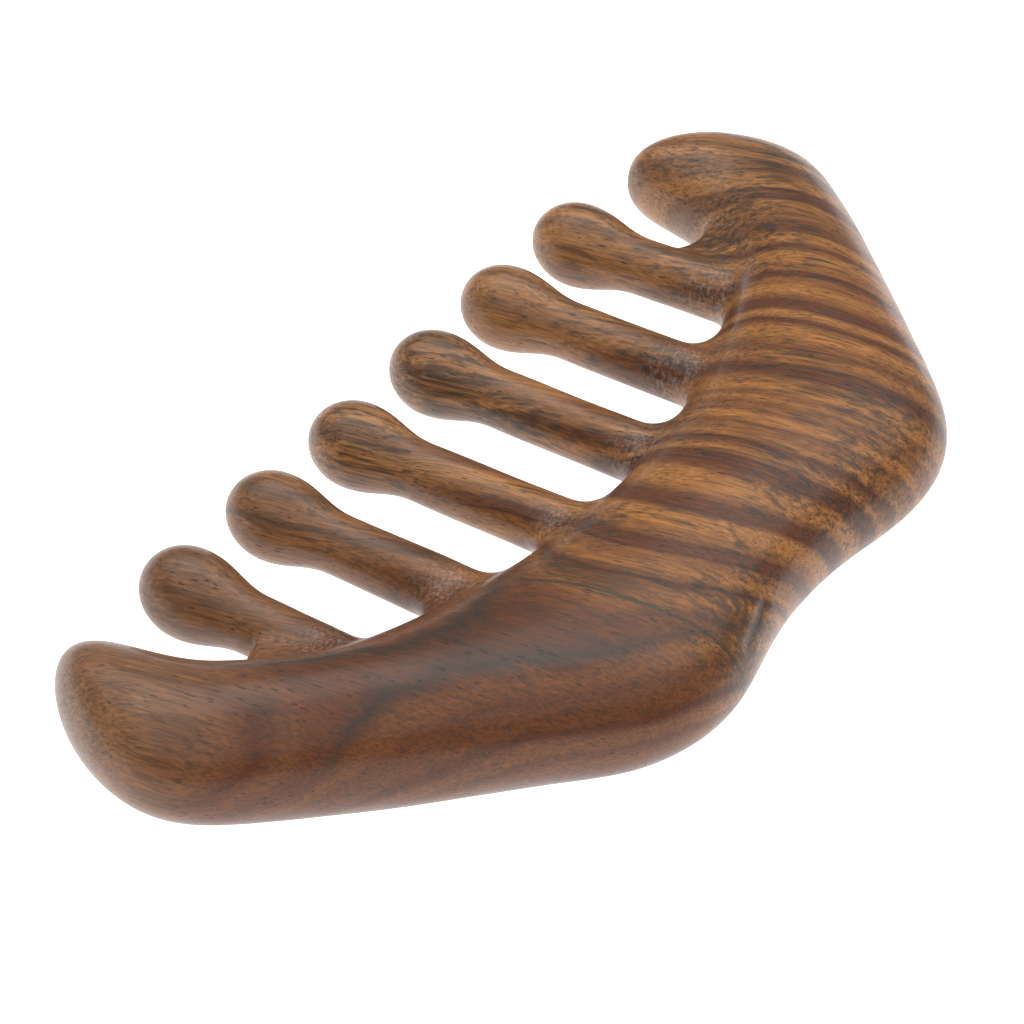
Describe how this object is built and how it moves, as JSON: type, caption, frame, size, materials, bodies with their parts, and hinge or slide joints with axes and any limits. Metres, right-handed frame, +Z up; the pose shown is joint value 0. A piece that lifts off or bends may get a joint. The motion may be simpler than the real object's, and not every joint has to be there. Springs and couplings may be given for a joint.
{
  "type": "wide tooth comb",
  "caption": "Thick carved wooden comb with a two-humped rounded back, ball-ended club teeth and a broad horn-shaped end tooth at each side.",
  "frame": {"origin": "bottom centre of the bounding box, on the surface that the comb lies on", "axes": "+X along the comb, +Y from the back towards the tooth tips, +Z up through its thickness"},
  "size_m": [0.1496, 0.0701, 0.0186],
  "materials": {
    "wood": "hand-polished oiled satin, dark brown striped hardwood"
  },
  "bodies": {
    "root": {"back": "wood", "tooth_1": "wood", "tooth_2": "wood", "tooth_3": "wood", "tooth_4": "wood", "tooth_5": "wood", "tooth_6": "wood", "end_tooth_left": "wood", "end_tooth_right": "wood"}
  },
  "joints": []
}
